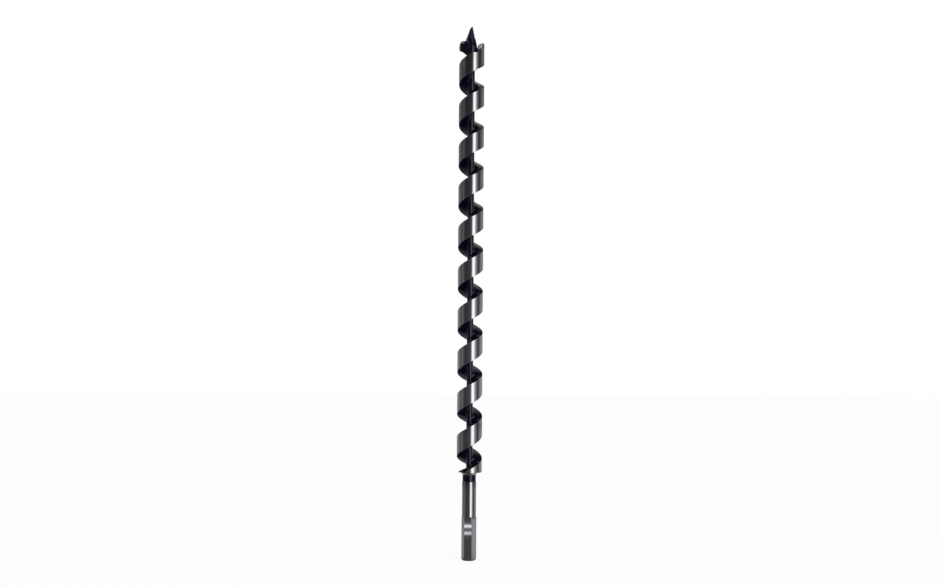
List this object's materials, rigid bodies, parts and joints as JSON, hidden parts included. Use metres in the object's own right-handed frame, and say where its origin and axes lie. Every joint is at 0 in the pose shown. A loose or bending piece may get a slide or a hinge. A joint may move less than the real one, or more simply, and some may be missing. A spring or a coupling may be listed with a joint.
{
  "type": "ship auger bit",
  "caption": "Long wood-boring bit with a hexagon shank, one open right-hand spiral round a core, a cutting lip, a spur and a conical feed screw.",
  "frame": {"origin": "centre of the shank's flat end face", "axes": "+Z along the bit's axis towards the feed screw's tip; -Y is the side that the picture shows"},
  "size_m": [0.022, 0.022, 0.46],
  "materials": {
    "ground_steel": "carbon steel, cylindrically ground bright",
    "black_steel": "carbon steel, milled and black-oxidised, satin"
  },
  "bodies": {
    "root": {"shank": "ground_steel", "neck": "black_steel", "core": "black_steel", "flight": "ground_steel", "head_hub": "black_steel", "cutting_lip": "black_steel", "spur": "ground_steel", "feed_screw": "black_steel"}
  },
  "joints": []
}
